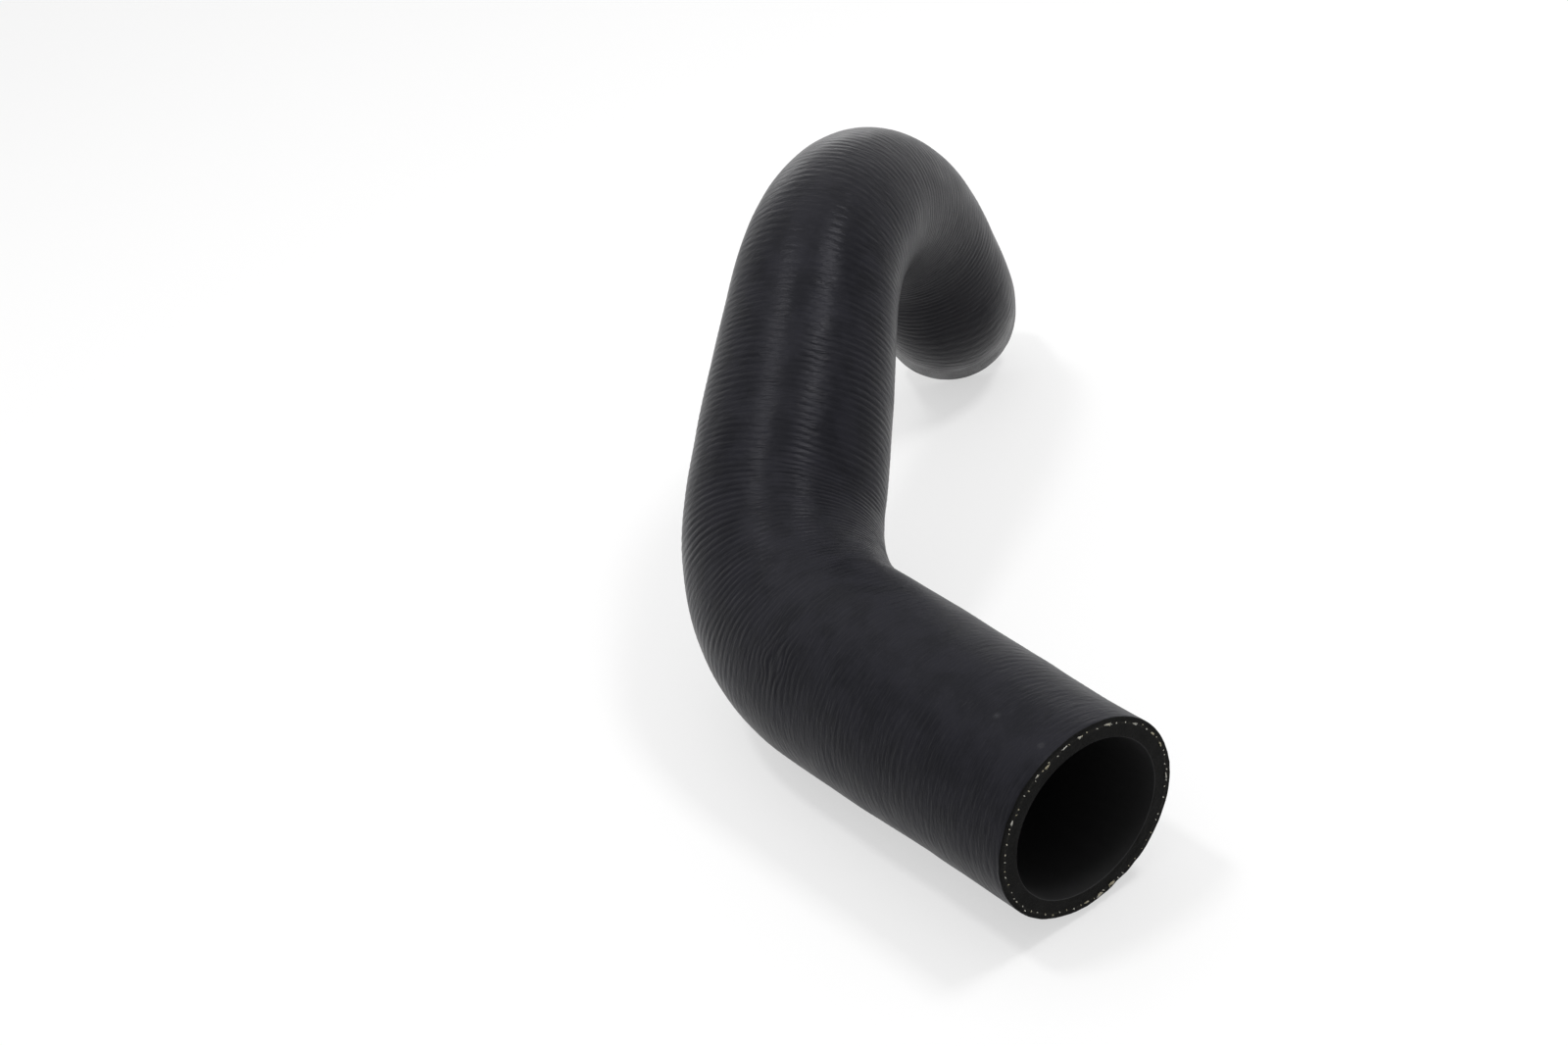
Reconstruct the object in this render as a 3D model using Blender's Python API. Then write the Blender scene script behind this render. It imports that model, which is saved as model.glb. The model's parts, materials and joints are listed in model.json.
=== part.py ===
"""A moulded rubber charge air hose, lying on its front leg and its far rim.

Metres, +Z up. The front leg runs along +Y from its cut, and the origin is
under the middle of the hose, on the surface that it lies on.
"""

import math

import bmesh
import bpy
from mathutils import Matrix, Vector

# Section
BORE_DIAMETER = 0.0402
FRONT_END_DIAMETER = 0.0499
BODY_DIAMETER = 0.0551
FAR_END_DIAMETER = 0.0478
CUT_EDGE = 0.0004

# The front cut leans: how far from square, and on which side it reaches furthest along the hose
FRONT_CUT_LEAN = math.radians(6.5)
FRONT_CUT_SIDE = math.radians(121.7)

# Centre line, from the front cut to the far one
FRONT_STRAIGHT = 0.0956
FIRST_BEND_RADIUS = 0.0604
FIRST_BEND_ANGLE = math.radians(59.1)
FIRST_TWIST = math.radians(111.5)
MIDDLE_STRAIGHT = 0.0593
SECOND_BEND_RADIUS = 0.0651
SECOND_BEND_ANGLE = math.radians(98.7)
SECOND_TWIST = math.radians(148.3)
FAR_STRAIGHT = 0.0135
THIRD_BEND_RADIUS = 0.0300
THIRD_BEND_ANGLE = math.radians(34.3)
END_STRAIGHT = 0.0233

# Where the wall thickens behind the front end, and thins again towards the far end
SWELL_LENGTH = 0.096
THINNING_START = 0.160
THINNING_LENGTH = 0.084

# The side on which the hose is laid down, before it settles
LAID_ROLL = math.radians(-38.0)

# Fineness of the mesh
SIDES = 40
STRAIGHT_STEP = 0.009
BEND_STEP = math.radians(5.0)
SHARP_ANGLE = math.radians(40.0)

RUBBER_COLOUR = (0.012, 0.012, 0.014, 1.0)
RUBBER_ROUGHNESS = 0.55


def clear_scene():
    for obj in list(bpy.data.objects):
        bpy.data.objects.remove(obj, do_unlink=True)


def rubber():
    """Black rubber of the hose."""
    material = bpy.data.materials.new("rubber")
    material.use_nodes = True
    shader = material.node_tree.nodes["Principled BSDF"]
    shader.inputs["Base Color"].default_value = RUBBER_COLOUR
    shader.inputs["Roughness"].default_value = RUBBER_ROUGHNESS
    shader.inputs["Metallic"].default_value = 0.0
    return material


def smooth_step(share):
    share = min(max(share, 0.0), 1.0)
    return share * share * (3.0 - 2.0 * share)


def outer_radius(distance):
    """Outer radius at a distance along the centre line from the front cut."""
    swell = smooth_step(distance / SWELL_LENGTH)
    thinning = smooth_step((distance - THINNING_START) / THINNING_LENGTH)
    diameter = FRONT_END_DIAMETER + swell * (BODY_DIAMETER - FRONT_END_DIAMETER)
    diameter += thinning * (FAR_END_DIAMETER - BODY_DIAMETER)
    return diameter / 2


class Route:
    """The centre line as stations: a frame whose Z points along the hose, and its distance.

    The heading's X points at the centre of the coming bend, and twist turns it
    there. The stations' frames leave the twists out, so that the rings of the
    wall follow each other without a turn.
    """

    def __init__(self):
        self.heading = Matrix.Identity(4)
        self.twisted = 0.0
        self.distance = 0.0
        self.stations = []
        self.mark()

    def mark(self):
        frame = self.heading @ Matrix.Rotation(-self.twisted, 4, "Z")
        self.stations.append((frame, self.distance))

    def straight(self, length):
        steps = max(1, round(length / STRAIGHT_STEP))
        for _ in range(steps):
            self.heading = self.heading @ Matrix.Translation((0, 0, length / steps))
            self.distance += length / steps
            self.mark()

    def bend(self, radius, angle):
        steps = max(1, round(angle / BEND_STEP))
        to_centre = Matrix.Translation((radius, 0, 0))
        turn = Matrix.Rotation(angle / steps, 4, "Y")
        for _ in range(steps):
            self.heading = self.heading @ to_centre @ turn @ to_centre.inverted()
            self.distance += radius * angle / steps
            self.mark()

    def twist(self, angle):
        self.heading = self.heading @ Matrix.Rotation(angle, 4, "Z")
        self.twisted += angle


def hose_route():
    route = Route()
    route.straight(FRONT_STRAIGHT)
    route.bend(FIRST_BEND_RADIUS, FIRST_BEND_ANGLE)
    route.twist(FIRST_TWIST)
    route.straight(MIDDLE_STRAIGHT)
    route.bend(SECOND_BEND_RADIUS, SECOND_BEND_ANGLE)
    route.twist(SECOND_TWIST)
    route.straight(FAR_STRAIGHT)
    route.bend(THIRD_BEND_RADIUS, THIRD_BEND_ANGLE)
    route.straight(END_STRAIGHT)
    return lean_front_cut(route.stations)


def lean_front_cut(stations):
    """Slants the first station, so that the rings of the front cut follow the wall to its leaning plane."""
    slope = math.tan(FRONT_CUT_LEAN)
    slant = Matrix.Identity(4)
    slant[2][0] = slope * math.cos(FRONT_CUT_SIDE)
    slant[2][1] = slope * math.sin(FRONT_CUT_SIDE)
    frame, distance = stations[0]
    return [(frame @ slant, distance)] + stations[1:]


def add_ring(bm, frame, radius):
    ring = []
    for side in range(SIDES):
        angle = math.tau * side / SIDES
        point = Vector((radius * math.cos(angle), radius * math.sin(angle), 0))
        ring.append(bm.verts.new(frame @ point))
    return ring


def join_rings(bm, first, second):
    """Quads between two rings. They face outward where the second lies further along."""
    for side in range(SIDES):
        after = (side + 1) % SIDES
        bm.faces.new((first[side], first[after], second[after], second[side]))


def cut_rings(frame, radius, inward):
    """The rounded-off edge of a cut: a smaller ring on the cut face and a full one behind it."""
    behind = frame @ Matrix.Translation((0, 0, inward * CUT_EDGE))
    return [(frame, radius - CUT_EDGE), (behind, radius)]


def wall_rings(stations):
    """Outer rings from the front cut to the far one, as frames and radii."""
    (front, start), (back, end) = stations[0], stations[-1]
    rings = cut_rings(front, outer_radius(start), 1)
    rings += [(frame, outer_radius(distance)) for frame, distance in stations[1:-1]]
    rings += reversed(cut_rings(back, outer_radius(end), -1))
    return rings


def bore_rings(stations):
    return [(frame, BORE_DIAMETER / 2) for frame, _ in stations]


def hose_mesh():
    """The wall round its bore, closed by the flat cut at each end."""
    stations = hose_route()
    bm = bmesh.new()
    outside = [add_ring(bm, frame, radius) for frame, radius in wall_rings(stations)]
    bore = [add_ring(bm, frame, radius) for frame, radius in bore_rings(stations)]
    for first, second in zip(outside, outside[1:]):
        join_rings(bm, first, second)
    for first, second in zip(bore, bore[1:]):
        join_rings(bm, second, first)
    join_rings(bm, bore[0], outside[0])
    join_rings(bm, outside[-1], bore[-1])
    return bm


def centre_of_mass(bm):
    """Centroid of a closed mesh, summed over the tetrahedra from the origin to each triangle."""
    total = Vector()
    volume = 0.0
    for a, b, c in (
        [loop.vert.co for loop in triangle] for triangle in bm.calc_loop_triangles()
    ):
        share = a.dot(b.cross(c))
        total += share * (a + b + c) / 4
        volume += share
    return total / volume


def lies_over(face, point):
    """Whether the foot of the perpendicular from the point falls inside a triangle."""
    corners = [vert.co for vert in face.verts]
    sides = zip(corners, corners[1:] + corners[:1])
    return all((b - a).cross(point - a).dot(face.normal) >= 0 for a, b in sides)


def settle(bm):
    """The turn that brings the hose to rest, on the lowest triangle of its hull under its weight."""
    weight = centre_of_mass(bm)
    hull = bmesh.new()
    for vert in bm.verts:
        hull.verts.new(vert.co)
    bmesh.ops.convex_hull(hull, input=hull.verts)
    hull.normal_update()
    down = Vector((0, 0, -1))
    resting = [face for face in hull.faces if lies_over(face, weight)]
    foot = max(resting, key=lambda face: face.normal.dot(down))
    turn = foot.normal.rotation_difference(down)
    hull.free()
    return turn.to_matrix().to_4x4()


def to_origin(bm):
    """The shift that brings the middle of the hose's underside to the origin."""
    lows = [min(vert.co[axis] for vert in bm.verts) for axis in range(3)]
    highs = [max(vert.co[axis] for vert in bm.verts) for axis in range(3)]
    middle = [(low + high) / 2 for low, high in zip(lows, highs)]
    return Matrix.Translation((-middle[0], -middle[1], -lows[2]))


def lay_down(bm):
    """Lays the hose down, lets it settle, and points its front leg along +Y."""
    laid = Matrix.Rotation(-math.pi / 2, 4, "X") @ Matrix.Rotation(LAID_ROLL, 4, "Z")
    bm.transform(laid)
    settled = settle(bm)
    ahead = (settled @ laid).to_3x3() @ Vector((0, 0, 1))
    heading = Matrix.Rotation(math.atan2(ahead.x, ahead.y), 4, "Z")
    bm.transform(heading @ settled)
    bm.transform(to_origin(bm))


def hose():
    bm = hose_mesh()
    lay_down(bm)
    mesh = bpy.data.meshes.new("hose")
    bm.to_mesh(mesh)
    bm.free()
    mesh.shade_smooth()
    mesh.set_sharp_from_angle(angle=SHARP_ANGLE)
    mesh.materials.append(rubber())
    obj = bpy.data.objects.new("hose", mesh)
    bpy.context.scene.collection.objects.link(obj)
    return obj


clear_scene()
hose()
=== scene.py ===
"""The looks of a moulded rubber charge air hose: its wrapped skin, cut ends, yarn ends and bore.

Metres, +Z up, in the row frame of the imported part.
"""

import json
import math
import random

import bpy
import numpy as np
from mathutils import Matrix, Vector, noise


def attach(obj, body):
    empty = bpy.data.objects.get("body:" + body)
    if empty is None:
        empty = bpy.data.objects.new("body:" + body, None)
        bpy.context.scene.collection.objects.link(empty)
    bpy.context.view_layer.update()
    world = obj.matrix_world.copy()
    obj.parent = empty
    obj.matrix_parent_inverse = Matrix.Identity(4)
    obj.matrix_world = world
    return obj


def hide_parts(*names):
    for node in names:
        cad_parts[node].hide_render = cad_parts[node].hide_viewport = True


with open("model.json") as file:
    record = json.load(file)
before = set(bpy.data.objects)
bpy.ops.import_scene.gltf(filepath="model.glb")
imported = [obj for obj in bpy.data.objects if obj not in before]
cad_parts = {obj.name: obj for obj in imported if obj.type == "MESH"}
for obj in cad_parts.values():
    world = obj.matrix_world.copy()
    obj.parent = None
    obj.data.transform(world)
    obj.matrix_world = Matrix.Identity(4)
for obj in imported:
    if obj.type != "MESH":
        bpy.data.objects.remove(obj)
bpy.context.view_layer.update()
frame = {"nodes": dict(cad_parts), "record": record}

# Section of the hose, as in the part's source
BORE_DIAMETER = 0.0402
FRONT_END_DIAMETER = 0.0499
BODY_DIAMETER = 0.0551
FAR_END_DIAMETER = 0.0478
CUT_EDGE = 0.0004
SWELL_LENGTH = 0.096
THINNING_START = 0.160
THINNING_LENGTH = 0.084
FRONT_CUT_LEAN = math.radians(6.5)
FRONT_CUT_SIDE = math.radians(121.7)

# Centre line, as in the part's source
FRONT_STRAIGHT = 0.0956
FIRST_BEND_RADIUS = 0.0604
FIRST_BEND_ANGLE = math.radians(59.1)
FIRST_TWIST = math.radians(111.5)
MIDDLE_STRAIGHT = 0.0593
SECOND_BEND_RADIUS = 0.0651
SECOND_BEND_ANGLE = math.radians(98.7)
SECOND_TWIST = math.radians(148.3)
FAR_STRAIGHT = 0.0135
THIRD_BEND_RADIUS = 0.0300
THIRD_BEND_ANGLE = math.radians(34.3)
END_STRAIGHT = 0.0233

# Fineness of the skin
SIDES = 100
WALL_STEP = 0.00045
BORE_STEP = 0.0060
CUT_RINGS = 9
LEAN_REACH = 0.012
EDGE_RINGS = 3
BORE_EDGE = 0.0002

# How far off a plane a point still counts as in it, and how far off a distance still counts as the same
FLAT_WITHIN = 2e-5
SAME_WITHIN = 1e-9

# Relief of the skin that is modelled: heights and sizes of its bumps
SWAY_HEIGHT = 0.00020
SWAY_SIZE = 0.024
RIPPLE_HEIGHT = 0.00007
RIPPLE_SIZE = 0.007
CUT_GRAIN_HEIGHT = 0.00010
CUT_GRAIN_SIZE = 0.0012
RIM_NICK_HEIGHT = 0.00020
RIM_NICK_SIZE = 0.0040
RIM_WEAR_HEIGHT = 0.00055
RIM_WEAR_SIZE = 0.0016
RIM_WEAR_REACH = 0.0016

# How fast the wall's relief fades across a cut, and how fast the cut's grain sets in from the bore
RELIEF_FALL = 4
GRAIN_RISE = 4

# Where the front cut's outer edge is torn: its middle and its reach to each side, in degrees round it
TORN_TURN = 118.0
TORN_REACH = 24.0

# Wear of the rest of a rim, as a share of the torn stretch's, and how much more of that stretch is worn
WHOLE_RIM_WEAR = 0.25
TORN_SPREAD = 0.25

# Ridges that the wrapping cloth left in the rubber: their pitch, how many run side by side, their height
RIDGE_PITCH = 0.00215
RIDGE_STARTS = 7
RIDGE_HEIGHT = 0.00013
RIDGE_WANDER = 0.8
RIDGE_WANDER_SIZE = 0.020
RIDGE_PATCH_SIZE = 0.010

# Strength of the ridges: weak on the front leg, full once they are crisp, weaker on the far leg
FRONT_STRENGTH = 0.30
CRISP_START = 0.088
CRISP_END = 0.118
FAR_STRENGTH = 0.6
WEAKENING_START = 0.180
WEAKENING_END = 0.215

# Patches of weak ridges: their strength, and the levels of noise between which it recovers
PATCH_STRENGTH = 0.45
PATCH_LOW = -0.30
PATCH_HIGH = 0.24

# Marks on the wall, by distance along the hose in millimetres and turn round it in degrees
SWIRL_MARK = (87.0, -103.8)
SWIRL_REACH = 13.0
SWIRL_CURL = 2.4
SWIRL_CURL_SIZE = 0.0058
SWIRL_STRENGTH = 1.8
SCUFF_MARKS = ((1.2, -65.8), (16.7, -64.5))
SCUFF_REACH = 1.3
SCUFF_STRENGTH = 3.0

# Yarn ends in the cuts: how many there are and show, where they lie, their fibres and the fibres' lengths
YARN_COUNT = 66
YARN_KEPT = 0.9
YARN_JITTER = 0.3
YARN_SHARE = 0.72
YARN_SPREAD = 0.00015
YARN_FIBRES = 4
LONG_FIBRES = 5
FRAYED_FIBRES = 11
SHORT_LENGTHS = (0.0001, 0.0003)
LONG_LENGTHS = (0.0008, 0.0015)
FRAYED_LENGTHS = (0.0007, 0.0016)
YARN_SEED = 7

# One fibre: its radius and sides, its tip's share of the radius, and its root, rise and sway
FIBRE_RADIUS = 0.00008
FIBRE_TIP = 0.5
FIBRE_SIDES = 6
FIBRE_ROOT = 0.0003
FIBRE_RISE = (0.00006, 0.00022)
FIBRE_SWAY = 0.3

# How loosely the fibres of an end lie, in radii of a fibre
LOOSE = 1.5
FRAYED_LOOSE = 4.5

# Where the front cut has its long and its frayed yarn ends, in degrees round it
LONG_ENDS = (253.4, 280.4, 288.0, 300.6, 311.8, 330.6, 352.1, 10.2, 22.6, 46.5)
FRAYED_ENDS = (119.1, 127.6, 137.1)

# How many long yarn ends the far cut has
FAR_LONG_ENDS = 9

# Rubber of the wall: its darker and paler patches, its bloom, the crests of its ridges, painted paler
# than the grooves as painted light on the crests and painted shade in the grooves, and its scuffs
WALL_DARK = (0.0076, 0.0078, 0.0106, 1.0)
WALL_PALE = (0.0134, 0.0134, 0.0178, 1.0)
WALL_BLOOM = (0.020, 0.0196, 0.0225, 1.0)
WALL_CREST_PAINTED_LIGHT = (0.016, 0.0155, 0.019, 1.0)
WALL_SCUFF = (0.07, 0.07, 0.075, 1.0)
BLOOM_START = 0.220
BLOOM_END = 0.275

# Tint of the light that the wall gives back
WALL_SHEEN = (0.94, 0.93, 1.0, 1.0)

# Rubber of the cuts, with the ring of cloth in them and their pale specks, and rubber of the bore
CUT_DARK = (0.0036, 0.0036, 0.0036, 1.0)
CUT_PALE = (0.0080, 0.0080, 0.0075, 1.0)
CUT_CLOTH = (0.06, 0.058, 0.05, 1.0)
CUT_SPECK = (0.10, 0.10, 0.09, 1.0)
BORE_DARK = (0.0110, 0.0110, 0.0114, 1.0)
BORE_PALE = (0.0170, 0.0170, 0.0175, 1.0)

# Yarn, clean and yellowed
YARN_CLEAN = (0.78, 0.77, 0.70, 1.0)
YARN_YELLOWED = (0.58, 0.53, 0.38, 1.0)

# Fine relief that is left to the materials: depths of its bumps
RIDGE_BUMP = 0.00005
WRINKLE_BUMP = 0.00022
GRAIN_BUMP = 0.00001
CUT_BUMP = 0.00018
BORE_BUMP = 0.00006

# Camera, worked out from the photograph's own view of the hose
FOCAL_SHARE = 2042.0 / 1600.0
SENSOR_WIDTH = 36.0
CAMERA_PLACE = (-0.27728, -0.42795, 0.29920)
CAMERA_TURN = tuple(math.radians(angle) for angle in (61.521, 12.267, -33.279))

# Studio
FLOOR_SIZE = 8.0
FLOOR_COLOUR = (0.50, 0.50, 0.50, 1.0)
FLOOR_GLOW = 0.58
HORIZON_LIGHT = 0.39
CEILING_LIGHT = 0.44
CEILING_FROM = 0.55
WHITE = (1.0, 1.0, 1.0, 1.0)

# Lamps: name, place, width, length, radiance, and what each is aimed at, or None where it looks down
LAMPS = (
    ("overhead", (0.1, 0.2, 2.2), 2.6, 2.6, 0.50, None),
    ("right", (0.50, -0.36, 1.20), 0.24, 0.30, 26.0, None),
    ("left", (-0.36, 0.18, 1.40), 0.16, 0.24, 36.0, None),
    ("back", (1.15, 2.15, 0.55), 1.2, 0.7, 1.3, (0.0, 0.0, 0.1)),
)

# Finishes of the skin, in the order of its material slots
FINISHES = ("wall", "cut", "bore")


def smooth_step(share):
    share = min(max(share, 0.0), 1.0)
    return share * share * (3.0 - 2.0 * share)


def outer_radius(distance):
    """Outer radius at a distance along the centre line from the front cut."""
    swell = smooth_step(distance / SWELL_LENGTH)
    thinning = smooth_step((distance - THINNING_START) / THINNING_LENGTH)
    diameter = FRONT_END_DIAMETER + swell * (BODY_DIAMETER - FRONT_END_DIAMETER)
    diameter += thinning * (FAR_END_DIAMETER - BODY_DIAMETER)
    return diameter / 2


class Route:
    """The centre line as runs, from which a frame at any distance can be had."""

    def __init__(self):
        self.heading = Matrix.Identity(4)
        self.twisted = 0.0
        self.length = 0.0
        self.runs = []

    def add(self, length, turn_at):
        self.runs.append((self.length, self.heading.copy(), self.twisted, turn_at))
        self.heading = self.heading @ turn_at(length)
        self.length += length

    def straight(self, length):
        self.add(length, lambda part: Matrix.Translation((0, 0, part)))

    def bend(self, radius, angle):
        to_centre = Matrix.Translation((radius, 0, 0))
        back = to_centre.inverted()
        self.add(
            radius * angle,
            lambda part: to_centre @ Matrix.Rotation(part / radius, 4, "Y") @ back,
        )

    def twist(self, angle):
        self.heading = self.heading @ Matrix.Rotation(angle, 4, "Z")
        self.twisted += angle

    def frame_at(self, distance):
        """The frame at a distance, with the twists left out."""
        distance = min(max(distance, 0.0), self.length)
        run = next(r for r in reversed(self.runs) if distance >= r[0] - SAME_WITHIN)
        start, heading, twisted, turn_at = run
        return heading @ turn_at(distance - start) @ Matrix.Rotation(-twisted, 4, "Z")


def hose_route():
    route = Route()
    route.straight(FRONT_STRAIGHT)
    route.bend(FIRST_BEND_RADIUS, FIRST_BEND_ANGLE)
    route.twist(FIRST_TWIST)
    route.straight(MIDDLE_STRAIGHT)
    route.bend(SECOND_BEND_RADIUS, SECOND_BEND_ANGLE)
    route.twist(SECOND_TWIST)
    route.straight(FAR_STRAIGHT)
    route.bend(THIRD_BEND_RADIUS, THIRD_BEND_ANGLE)
    route.straight(END_STRAIGHT)
    return route


def front_lean(across, distance):
    """How far a point near the leaning front cut is shifted along the hose."""
    side = Vector((math.cos(FRONT_CUT_SIDE), math.sin(FRONT_CUT_SIDE), 0.0))
    return math.tan(FRONT_CUT_LEAN) * across.dot(side) * max(0.0, 1.0 - distance / LEAN_REACH)


def cut_centre(mount):
    """Middle of the flat cut that a mount lies on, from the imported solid."""
    place, axis = Vector(mount["pos_m"]), Vector(mount["axis"])
    near = [
        vert.co.copy()
        for vert in frame["nodes"]["hose"].data.vertices
        if abs((vert.co - place).dot(axis)) < FLAT_WITHIN
        and (vert.co - place).length < BODY_DIAMETER
    ]
    return sum(near, Vector()) / len(near)


def base_of(first, second):
    """A rotation whose Z is the first direction and whose X lies towards the second."""
    z = first.normalized()
    x = (second - z * second.dot(z)).normalized()
    return Matrix((x, z.cross(x), z)).transposed()


def seat(route):
    """Where the route's own frame lies in the row frame, from the two cuts."""
    mounts = {mount["name"]: mount for mount in frame["record"]["mounts"]}
    front = cut_centre(mounts["front_end"])
    far = cut_centre(mounts["far_end"])
    lean = Matrix.Rotation(FRONT_CUT_SIDE, 3, "Z") @ Matrix.Rotation(-FRONT_CUT_LEAN, 3, "Y")
    own = base_of(lean @ Vector((0, 0, -1)), route.frame_at(route.length).translation)
    row = base_of(Vector(mounts["front_end"]["axis"]), far - front)
    return Matrix.Translation(front) @ (row @ own.inverted()).to_4x4()


def noise_at(place, size, shift=0.0):
    """Smooth noise from -1 to 1 at a place, with bumps of about the given size.

    The shift is any number that no other noise has, so that no two of them run alike.
    """
    return noise.noise(place / size + Vector((shift, shift, shift)))


def wall_relief(place):
    """How far the wall stands out at a place on the straightened hose."""
    sway = SWAY_HEIGHT * noise_at(place, SWAY_SIZE)
    return sway + RIPPLE_HEIGHT * noise_at(place, RIPPLE_SIZE, 5.0)


def ramp_between(value, low, high, to_low, to_high):
    """Maps a value from low..high to to_low..to_high, with smooth ends."""
    return to_low + (to_high - to_low) * smooth_step((value - low) / (high - low))


def on_hose(distance, turn):
    """A place on the outside of the straightened hose, in millimetres, by its distance and its turn."""
    radius = outer_radius(distance / 1000) * 1000
    angle = math.radians(turn)
    return (radius * math.cos(angle), radius * math.sin(angle), distance)


def ridge_course(place):
    """How far the ridges wander at a place, in pitches, and how strong they are there."""
    apart = (place * 1000 - Vector(on_hose(*SWIRL_MARK))).length
    swirl = 1.0 - smooth_step(apart / SWIRL_REACH)
    wander = RIDGE_WANDER * noise_at(place, RIDGE_WANDER_SIZE, 31.0)
    wander += SWIRL_CURL * swirl * noise_at(place, SWIRL_CURL_SIZE, 37.0)
    strength = ramp_between(place.z, CRISP_START, CRISP_END, FRONT_STRENGTH, 1.0)
    strength *= ramp_between(place.z, WEAKENING_START, WEAKENING_END, 1.0, FAR_STRENGTH)
    patch = noise_at(place, RIDGE_PATCH_SIZE, 41.0)
    strength *= ramp_between(patch, PATCH_LOW, PATCH_HIGH, PATCH_STRENGTH, 1.0)
    return wander, strength + SWIRL_STRENGTH * swirl


def ridge_relief(place, wander, strength):
    """How far the ridges stand out at a place, from their course there."""
    turn = math.atan2(place.y, place.x) / math.tau
    phase = place.z / RIDGE_PITCH + RIDGE_STARTS * turn + wander
    return RIDGE_HEIGHT * strength * abs(math.cos(math.pi * phase))


def rim_wear(place):
    """How far the outer edge of a cut is worn back at a place on the straightened hose."""
    turn = math.degrees(math.atan2(place.y, place.x))
    torn = 0.0
    if place.z < LEAN_REACH:
        torn = max(0.0, 1.0 - abs(turn - TORN_TURN) / TORN_REACH)
    height = RIM_WEAR_HEIGHT * (WHOLE_RIM_WEAR + torn)
    return height * max(0.0, noise_at(place, RIM_WEAR_SIZE, 23.0) + TORN_SPREAD * torn)


def cut_relief(place):
    """How far the sawn face stands out at a place on it."""
    grain = CUT_GRAIN_HEIGHT * noise_at(place, CUT_GRAIN_SIZE, 11.0)
    return grain + RIM_NICK_HEIGHT * noise_at(place, RIM_NICK_SIZE, 17.0)


def edge_arc(radius, distance, edge, outward, inward):
    """Points of a rounded edge, from the cut face to the wall behind it, as radius and distance."""
    for step in range(1, EDGE_RINGS + 1):
        turn = math.pi / 2 * step / (EDGE_RINGS + 1)
        rim = radius + outward * edge * (math.sin(turn) - 1)
        yield rim, distance + inward * edge * (1 - math.cos(turn))


def spread(start, end, step):
    """Values between a start and an end, no further apart than the step."""
    count = max(1, math.ceil(abs(end - start) / step))
    return [start + (end - start) * k / count for k in range(1, count)]


def cut_profile(distance, inward):
    """Radius, distance and finish of the rings of one cut, from its bore to its outer edge."""
    bore = BORE_DIAMETER / 2
    outside = outer_radius(distance)
    rings = [(r, d, "bore") for r, d in edge_arc(bore, distance, BORE_EDGE, -1, inward)][::-1]
    step = (outside - CUT_EDGE - bore - BORE_EDGE) / CUT_RINGS
    rings += [(bore + BORE_EDGE + step * k, distance, "cut") for k in range(CUT_RINGS + 1)]
    rings += [(r, d, "cut") for r, d in edge_arc(outside, distance, CUT_EDGE, 1, inward)]
    return rings


def skin_profile(length):
    """Every ring of the skin in turn: the front cut, the wall, the far cut and back along the bore."""
    wall_end = length - CUT_EDGE
    bore_end = length - BORE_EDGE
    along_wall = [CUT_EDGE] + spread(CUT_EDGE, wall_end, WALL_STEP) + [wall_end]
    along_bore = [bore_end] + spread(bore_end, BORE_EDGE, BORE_STEP) + [BORE_EDGE]
    wall = [(outer_radius(d), d, "wall") for d in along_wall]
    bore = [(BORE_DIAMETER / 2, d, "bore") for d in along_bore]
    return cut_profile(0.0, 1) + wall + cut_profile(length, -1)[::-1] + bore


def ring_points(here, radius, distance, length, finish):
    """Points of one ring in the row frame, and what each of them keeps.

    That is its place on the straightened hose in millimetres, its share of the
    wall's thickness from the bore outward, and the course of the ridges there.
    """
    bore = BORE_DIAMETER / 2
    wall_share = (radius - bore) / (outer_radius(distance) - bore)
    near_outside = wall_share**RELIEF_FALL
    points = []
    straight = []
    courses = []
    for side in range(SIDES):
        angle = math.tau * side / SIDES
        across = Vector((math.cos(angle), math.sin(angle), 0.0))
        point = across * radius
        point.z = front_lean(point, distance)
        place = point + Vector((0.0, 0.0, distance))
        course = (0.0, 0.0)
        if finish != "bore":
            course = ridge_course(place)
            point += across * wall_relief(place) * wall_share
            point += across * ridge_relief(place, *course) * near_outside
            near_rim = max(0.0, 1.0 - min(distance, length - distance) / RIM_WEAR_REACH)
            point -= across * rim_wear(place) * near_rim * near_outside
        if finish == "cut":
            point.z += cut_relief(place) * min(1.0, GRAIN_RISE * wall_share)
        points.append(here @ point)
        straight.append(place * 1000)
        courses.append(course)
    return points, straight, [wall_share] * SIDES, courses


def skin_mesh(route, place_in_row):
    """The hose as one closed mesh, which keeps for each point what its material needs."""
    rings = skin_profile(route.length)
    points = []
    straight = []
    shares = []
    courses = []
    for radius, distance, finish in rings:
        here = place_in_row @ route.frame_at(distance)
        ring, flat, share, course = ring_points(here, radius, distance, route.length, finish)
        points += ring
        straight += flat
        shares += share
        courses += course
    faces = []
    slots = []
    for index, (ring, after) in enumerate(zip(rings, rings[1:] + rings[:1])):
        start = index * SIDES
        following = (index + 1) % len(rings) * SIDES
        for side in range(SIDES):
            beside = (side + 1) % SIDES
            faces.append((start + side, start + beside, following + beside, following + side))
        slots += [min(FINISHES.index(ring[2]), FINISHES.index(after[2]))] * SIDES
    mesh = bpy.data.meshes.new("hose_skin")
    mesh.from_pydata(points, [], faces)
    for _ in FINISHES:
        mesh.materials.append(None)
    mesh.polygons.foreach_set("material_index", slots)
    kept = mesh.attributes.new("straight", "FLOAT_VECTOR", "POINT")
    kept.data.foreach_set("vector", np.array(straight).ravel())
    wanders, strengths = zip(*courses)
    for name, values in (("wall_share", shares), ("wander", wanders), ("strength", strengths)):
        kept = mesh.attributes.new(name, "FLOAT", "POINT")
        kept.data.foreach_set("value", values)
    mesh.shade_smooth()
    return mesh


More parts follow.
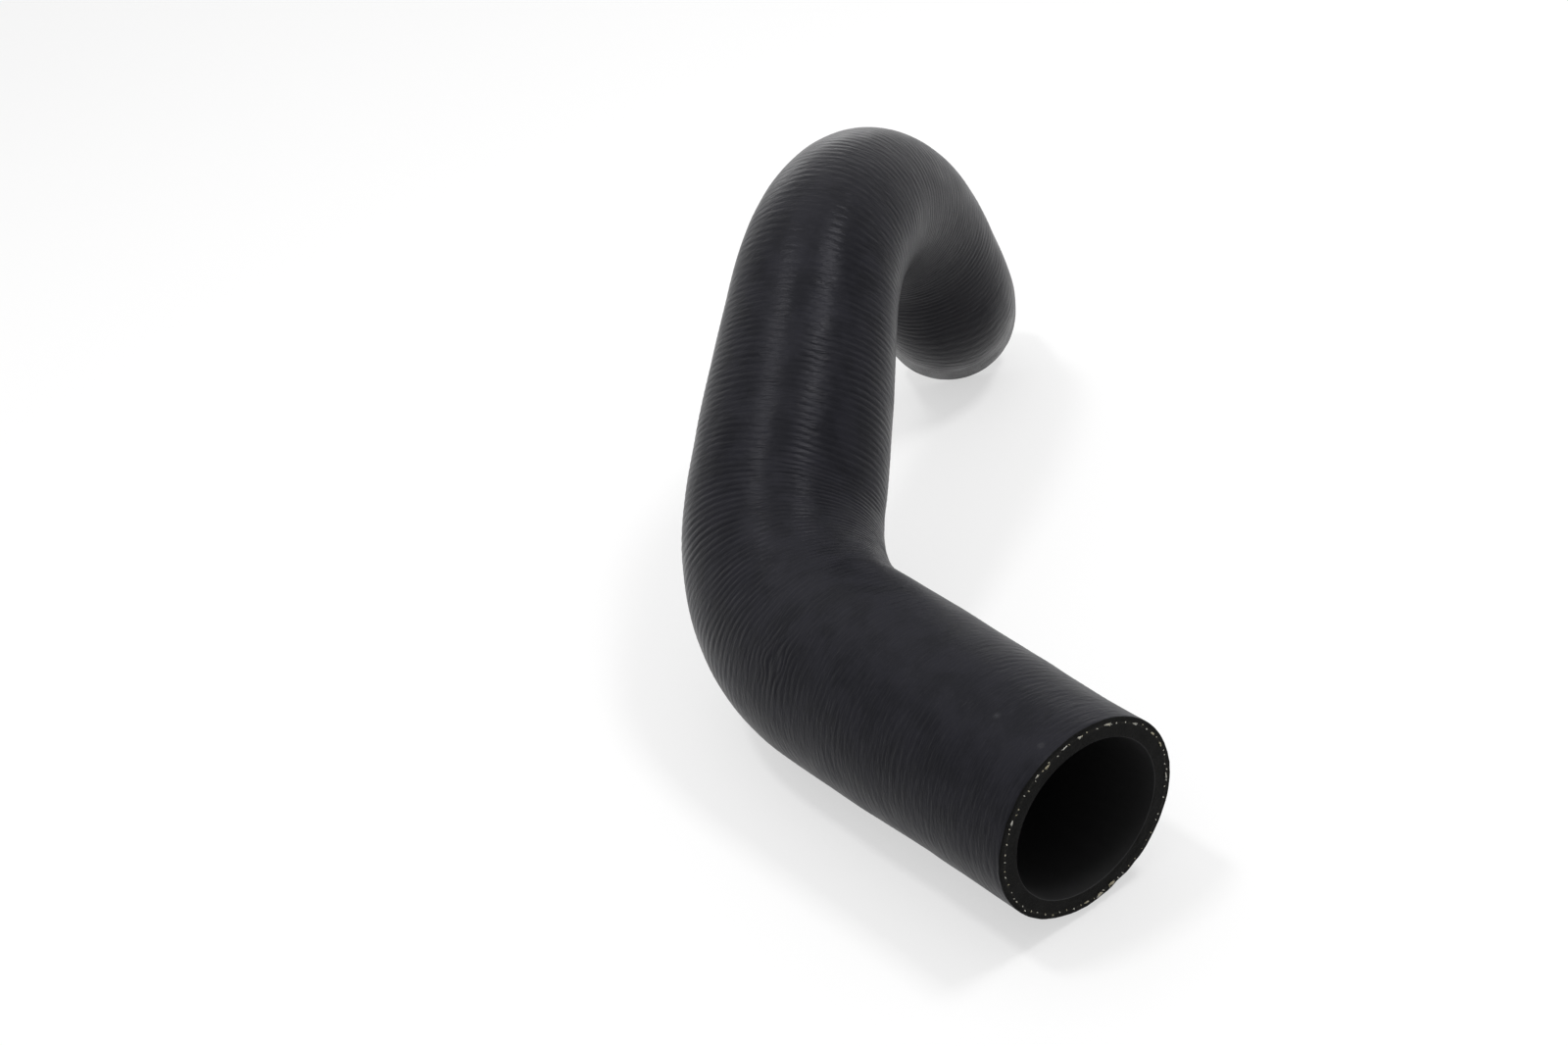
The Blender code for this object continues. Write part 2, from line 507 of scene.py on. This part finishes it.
def fibre_path(rng, base, out, along, length):
    """Root, foot, middle and tip of one fibre, which leaves the cut at a base and lies over along it."""
    rise = rng.uniform(*FIBRE_RISE)
    sway = out.cross(along) * rng.uniform(-FIBRE_SWAY, FIBRE_SWAY) * length
    return [
        base - out * FIBRE_ROOT,
        base + out * rise * 0.7,
        base + out * rise + along * length * 0.5 + sway * 0.4,
        base + out * rise * rng.uniform(0.2, 1.4) + along * length + sway,
    ]


def add_fibre(points, faces, path, radius):
    """A thin tube along a path, which tapers to its end."""
    first = len(points)
    for index, place in enumerate(path):
        ahead = path[min(index + 1, len(path) - 1)] - path[max(index - 1, 0)]
        here = base_of(ahead, ahead.orthogonal())
        girth = radius * (FIBRE_TIP if index == len(path) - 1 else 1.0)
        for side in range(FIBRE_SIDES):
            angle = math.tau * side / FIBRE_SIDES
            across = Vector((girth * math.cos(angle), girth * math.sin(angle), 0))
            points.append(place + here @ across)
    for index in range(len(path) - 1):
        start = first + index * FIBRE_SIDES
        after = start + FIBRE_SIDES
        for side in range(FIBRE_SIDES):
            beside = (side + 1) % FIBRE_SIDES
            faces.append((start + side, start + beside, after + beside, after + side))
    faces.append(tuple(range(first, first + FIBRE_SIDES))[::-1])
    faces.append(tuple(range(len(points) - FIBRE_SIDES, len(points))))


def short_ends(rng):
    """Angles of the short yarn ends of a cut, with some missing."""
    return [
        math.tau * (index + rng.uniform(-YARN_JITTER, YARN_JITTER)) / YARN_COUNT
        for index in range(YARN_COUNT)
        if rng.random() < YARN_KEPT
    ]


def yarn_mesh(name, here, distance, outward, long_ends, frayed_ends):
    """The yarn ends of one cut: a ring of short tufts of fibre in the wall, some long or frayed."""
    rng = random.Random(f"{YARN_SEED} {name}")
    bore = BORE_DIAMETER / 2
    ring = bore + YARN_SHARE * (outer_radius(distance) - bore)
    out = Vector((0, 0, outward))
    ends = [(angle, YARN_FIBRES, SHORT_LENGTHS) for angle in short_ends(rng)]
    ends += [(math.radians(angle), LONG_FIBRES, LONG_LENGTHS) for angle in long_ends]
    ends += [(math.radians(angle), FRAYED_FIBRES, FRAYED_LENGTHS) for angle in frayed_ends]
    points = []
    faces = []
    for angle, fibres, lengths in ends:
        across = Vector((math.cos(angle), math.sin(angle), 0))
        along = out.cross(across) * rng.choice((-1, 1))
        base = across * (ring + rng.gauss(0, YARN_SPREAD))
        if outward < 0:
            base.z = front_lean(base, distance)
        length = rng.uniform(*lengths)
        loose = FIBRE_RADIUS * (FRAYED_LOOSE if fibres == FRAYED_FIBRES else LOOSE)
        for _ in range(fibres):
            nudge = across * rng.uniform(-loose, loose) - along * rng.uniform(0.0, length * 0.6)
            path = fibre_path(rng, base + nudge, out, along, length * rng.uniform(0.5, 1.1))
            add_fibre(points, faces, path, FIBRE_RADIUS * rng.uniform(0.7, 1.2))
    mesh = bpy.data.meshes.new(name)
    mesh.from_pydata([here @ point for point in points], [], faces)
    mesh.shade_smooth()
    return mesh


class Shader:
    """A material's nodes, with a short call for each kind that is used here."""

    def __init__(self, name):
        self.material = bpy.data.materials.new(name)
        self.material.use_nodes = True
        self.tree = self.material.node_tree
        self.surface = self.tree.nodes["Principled BSDF"].inputs

    def plug(self, socket, value):
        if isinstance(value, bpy.types.NodeSocket):
            self.tree.links.new(value, socket)
        else:
            socket.default_value = value

    def set(self, **values):
        """Sets sockets of the surface, named with _ for a space."""
        for name, value in values.items():
            self.plug(self.surface[name.replace("_", " ")], value)

    def attribute(self, name):
        node = self.tree.nodes.new("ShaderNodeAttribute")
        node.attribute_name = name
        return node

    def math(self, operation, *values):
        node = self.tree.nodes.new("ShaderNodeMath")
        node.operation = operation
        for socket, value in zip(node.inputs, values):
            self.plug(socket, value)
        return node.outputs[0]

    def scaled(self, place, factors):
        node = self.tree.nodes.new("ShaderNodeVectorMath")
        node.operation = "MULTIPLY"
        self.plug(node.inputs[0], place)
        node.inputs[1].default_value = factors
        return node.outputs[0]

    def split(self, vector):
        node = self.tree.nodes.new("ShaderNodeSeparateXYZ")
        self.plug(node.inputs[0], vector)
        return node.outputs

    def noise(self, place, scale, detail=2.0, roughness=0.5):
        node = self.tree.nodes.new("ShaderNodeTexNoise")
        self.plug(node.inputs["Vector"], place)
        self.plug(node.inputs["Scale"], scale)
        self.plug(node.inputs["Detail"], detail)
        self.plug(node.inputs["Roughness"], roughness)
        return node.outputs[0]

    def ramp(self, value, low, high, to_low=0.0, to_high=1.0):
        """Maps a value from low..high to to_low..to_high, with smooth ends."""
        node = self.tree.nodes.new("ShaderNodeMapRange")
        node.interpolation_type = "SMOOTHSTEP"
        for socket, number in zip(node.inputs, (value, low, high, to_low, to_high)):
            self.plug(socket, number)
        return node.outputs[0]

    def mix(self, share, first, second):
        node = self.tree.nodes.new("ShaderNodeMix")
        node.data_type = "RGBA"
        self.plug(node.inputs["Factor"], share)
        self.plug(node.inputs[6], first)
        self.plug(node.inputs[7], second)
        return node.outputs[2]

    def spot(self, place, middle, reach):
        """1 at the middle of a spot, and 0 from its reach outward."""
        node = self.tree.nodes.new("ShaderNodeVectorMath")
        node.operation = "DISTANCE"
        self.plug(node.inputs[0], place)
        node.inputs[1].default_value = middle
        return self.ramp(node.outputs["Value"], 0.0, reach, 1.0, 0.0)

    def bump(self, height, depth, normal=None):
        """A bump whose height of 1 stands for a depth in metres."""
        node = self.tree.nodes.new("ShaderNodeBump")
        self.plug(node.inputs["Height"], height)
        self.plug(node.inputs["Strength"], 1.0)
        self.plug(node.inputs["Distance"], depth)
        if normal is not None:
            self.plug(node.inputs["Normal"], normal)
        return node.outputs[0]


def wall_ridges(nodes, straight):
    """The ridges as on the mesh, from 0 in a groove to their strength on a crest."""
    x, y, along = nodes.split(straight)
    turn = nodes.math("DIVIDE", nodes.math("ARCTAN2", y, x), math.tau)
    pitches = nodes.math("DIVIDE", along, RIDGE_PITCH * 1000)
    phase = nodes.math("MULTIPLY_ADD", turn, RIDGE_STARTS, pitches)
    phase = nodes.math("ADD", phase, nodes.attribute("wander").outputs["Fac"])
    wave = nodes.math("COSINE", nodes.math("MULTIPLY", phase, math.pi))
    strength = nodes.attribute("strength").outputs["Fac"]
    return nodes.math("MULTIPLY", nodes.math("ABSOLUTE", wave), strength)


def wall_scuffs(nodes, straight, grain):
    """Small scuffs all over the wall, and the marked ones, which are stronger."""
    flecks = nodes.noise(nodes.scaled(straight, (1.0, 1.0, 0.6)), scale=1.6, detail=4.0, roughness=0.7)
    scuffs = nodes.ramp(flecks, 0.70, 0.76)
    ragged = nodes.ramp(grain, 0.35, 0.65)
    for mark in SCUFF_MARKS:
        scuff = nodes.math("MULTIPLY", nodes.spot(straight, on_hose(*mark), SCUFF_REACH), ragged)
        scuffs = nodes.math("MAXIMUM", scuffs, nodes.math("MULTIPLY", scuff, SCUFF_STRENGTH))
    return scuffs


def wall_material():
    """Black rubber moulded under a cloth wrap: fine ridges, dull bloom, small wrinkles and scuffs."""
    nodes = Shader("wall_rubber")
    straight = nodes.attribute("straight").outputs["Vector"]
    along = nodes.split(straight)[2]
    ridge = wall_ridges(nodes, straight)
    lengthways = nodes.scaled(straight, (0.22, 0.22, 1.0))
    wrinkles = nodes.noise(lengthways, scale=0.9, detail=3.0, roughness=0.6)
    mottle = nodes.noise(straight, scale=0.12, detail=4.0, roughness=0.6)
    grain = nodes.noise(straight, scale=6.0, detail=2.0, roughness=0.6)
    scuffs = wall_scuffs(nodes, straight, grain)

    colour = nodes.mix(nodes.ramp(mottle, 0.35, 0.65), WALL_DARK, WALL_PALE)
    bloom = nodes.ramp(along, BLOOM_START * 1000, BLOOM_END * 1000)
    bloom = nodes.math("MULTIPLY", bloom, nodes.ramp(mottle, 0.3, 0.6, 0.45, 1.0))
    colour = nodes.mix(bloom, colour, WALL_BLOOM)
    # Ridge crests painted paler than the grooves: painted light on the crests, painted shade in the
    # grooves
    colour = nodes.mix(nodes.math("MULTIPLY", ridge, 0.30), colour, WALL_CREST_PAINTED_LIGHT)
    colour = nodes.mix(nodes.math("MULTIPLY", scuffs, 0.25), colour, WALL_SCUFF)

    crisp = nodes.ramp(along, CRISP_START * 1000, CRISP_END * 1000)
    rough = nodes.ramp(mottle, 0.3, 0.7, 0.35, 0.43)
    rough = nodes.math("SUBTRACT", rough, nodes.math("MULTIPLY", crisp, 0.07))
    rough = nodes.math("ADD", rough, nodes.math("MULTIPLY", scuffs, 0.15))

    normal = nodes.bump(ridge, RIDGE_BUMP)
    normal = nodes.bump(wrinkles, WRINKLE_BUMP, normal)
    normal = nodes.bump(grain, GRAIN_BUMP, normal)
    nodes.set(Base_Color=colour, Roughness=rough, Normal=normal, IOR=1.18, Specular_Tint=WALL_SHEEN)
    return nodes.material


def cut_material():
    """Sawn rubber: matt and grainy, with the cloth layer as a faint paler ring."""
    nodes = Shader("cut_rubber")
    straight = nodes.attribute("straight").outputs["Vector"]
    share = nodes.attribute("wall_share").outputs["Fac"]
    grain = nodes.noise(straight, scale=1.8, detail=4.0, roughness=0.7)
    speckle = nodes.ramp(nodes.noise(straight, scale=4.0, detail=2.0, roughness=0.7), 0.62, 0.72)
    off_ring = nodes.math("ABSOLUTE", nodes.math("SUBTRACT", share, YARN_SHARE))
    cloth = nodes.ramp(off_ring, 0.02, 0.09, 1.0, 0.0)
    cloth = nodes.math("MULTIPLY", cloth, nodes.ramp(grain, 0.4, 0.6))
    colour = nodes.mix(grain, CUT_DARK, CUT_PALE)
    colour = nodes.mix(nodes.math("MULTIPLY", cloth, 0.35), colour, CUT_CLOTH)
    colour = nodes.mix(nodes.math("MULTIPLY", speckle, 0.25), colour, CUT_SPECK)
    nodes.set(Base_Color=colour, Roughness=0.62, Normal=nodes.bump(grain, CUT_BUMP), IOR=1.14)
    return nodes.material


def bore_material():
    """Smooth black lining of the bore."""
    nodes = Shader("bore_rubber")
    straight = nodes.attribute("straight").outputs["Vector"]
    streaks = nodes.noise(nodes.scaled(straight, (1.0, 1.0, 0.15)), scale=0.5, detail=3.0)
    colour = nodes.mix(streaks, BORE_DARK, BORE_PALE)
    nodes.set(Base_Color=colour, Roughness=0.6, Normal=nodes.bump(streaks, BORE_BUMP), IOR=1.4)
    return nodes.material


def yarn_material():
    """Undyed yarn, a little yellowed."""
    nodes = Shader("yarn")
    place = nodes.tree.nodes.new("ShaderNodeTexCoord").outputs["Object"]
    tint = nodes.ramp(nodes.noise(place, scale=400.0), 0.4, 0.6)
    nodes.set(Base_Color=nodes.mix(tint, YARN_CLEAN, YARN_YELLOWED), Roughness=0.7)
    return nodes.material


def add_piece(mesh):
    """A piece of the hose from its mesh, which rides with the part's one body."""
    obj = bpy.data.objects.new(mesh.name, mesh)
    bpy.context.scene.collection.objects.link(obj)
    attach(obj, "root")
    return obj


def add_hose():
    """The skin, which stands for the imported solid, and the yarn ends in its two cuts."""
    route = hose_route()
    place_in_row = seat(route)
    skin = add_piece(skin_mesh(route, place_in_row))
    for slot, material in enumerate((wall_material(), cut_material(), bore_material())):
        skin.data.materials[slot] = material
    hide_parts("hose")
    yarn = yarn_material()
    rng = random.Random(YARN_SEED)
    far_ends = [rng.uniform(0, 360) for _ in range(FAR_LONG_ENDS)]
    for name, distance, outward, long_ends, frayed_ends in (
        ("front_yarn", 0.0, -1, LONG_ENDS, FRAYED_ENDS),
        ("far_yarn", route.length, 1, far_ends, ()),
    ):
        here = place_in_row @ route.frame_at(distance)
        piece = add_piece(yarn_mesh(name, here, distance, outward, long_ends, frayed_ends))
        piece.data.materials.append(yarn)


def background_rays(tree):
    """1 for a ray from the camera, a reflection or a clear material, and 0 for any other."""
    path = tree.nodes.new("ShaderNodeLightPath")
    seen = path.outputs["Is Camera Ray"]
    for kind in ("Is Glossy Ray", "Is Transmission Ray"):
        either = tree.nodes.new("ShaderNodeMath")
        either.operation = "MAXIMUM"
        tree.links.new(seen, either.inputs[0])
        tree.links.new(path.outputs[kind], either.inputs[1])
        seen = either.outputs[0]
    return seen


def add_floor():
    """White with the hose's shadow where it is seen, and grey for the light that it gives back."""
    mesh = bpy.data.meshes.new("floor")
    half = FLOOR_SIZE / 2
    corners = [(-half, -half, 0), (half, -half, 0), (half, half, 0), (-half, half, 0)]
    mesh.from_pydata(corners, [], [(0, 1, 2, 3)])
    floor = bpy.data.objects.new("floor", mesh)
    bpy.context.scene.collection.objects.link(floor)
    nodes = Shader("floor")
    seen = background_rays(nodes.tree)
    shaded = (1.0 - FLOOR_GLOW,) * 3 + (1.0,)
    nodes.set(Base_Color=nodes.mix(seen, FLOOR_COLOUR, shaded), Roughness=0.9)
    glow = nodes.math("MULTIPLY", seen, FLOOR_GLOW)
    nodes.set(Emission_Color=WHITE, Emission_Strength=glow)
    mesh.materials.append(nodes.material)


def add_world():
    """White where it is seen. As a light, a dim and nearly even room, a little brighter overhead."""
    world = bpy.data.worlds.new("studio")
    world.use_nodes = True
    tree = world.node_tree
    background = tree.nodes["Background"]
    background.inputs["Color"].default_value = WHITE
    direction = tree.nodes.new("ShaderNodeTexCoord")
    height = tree.nodes.new("ShaderNodeSeparateXYZ")
    tree.links.new(direction.outputs["Generated"], height.inputs[0])
    room = tree.nodes.new("ShaderNodeMapRange")
    room.inputs["From Max"].default_value = CEILING_FROM
    room.inputs["To Min"].default_value = HORIZON_LIGHT
    room.inputs["To Max"].default_value = CEILING_LIGHT
    tree.links.new(height.outputs["Z"], room.inputs["Value"])
    strength = tree.nodes.new("ShaderNodeMapRange")
    strength.inputs["To Max"].default_value = 1.0
    tree.links.new(background_rays(tree), strength.inputs["Value"])
    tree.links.new(room.outputs[0], strength.inputs["To Min"])
    tree.links.new(strength.outputs[0], background.inputs["Strength"])
    bpy.context.scene.world = world


def add_softbox(name, place, width, length, radiance, aim):
    """A lamp that looks at what it is aimed at, or else looks down, with its length along Y."""
    light = bpy.data.lights.new(name, "AREA")
    light.shape = "RECTANGLE"
    light.size = width
    light.size_y = length
    light.energy = radiance * math.pi * width * length
    lamp = bpy.data.objects.new(name, light)
    lamp.location = place
    if aim is not None:
        lamp.rotation_euler = (Vector(place) - Vector(aim)).to_track_quat("Z", "Y").to_euler()
    bpy.context.scene.collection.objects.link(lamp)


def add_camera():
    """The camera at the photograph's viewpoint."""
    lens = bpy.data.cameras.new("camera")
    lens.sensor_width = SENSOR_WIDTH
    lens.lens = SENSOR_WIDTH * FOCAL_SHARE
    camera = bpy.data.objects.new("camera", lens)
    camera.location = CAMERA_PLACE
    camera.rotation_euler = CAMERA_TURN
    bpy.context.scene.collection.objects.link(camera)
    bpy.context.scene.camera = camera


add_hose()
add_floor()
add_world()
for lamp in LAMPS:
    add_softbox(*lamp)
add_camera()
bpy.context.scene.view_settings.view_transform = "Standard"
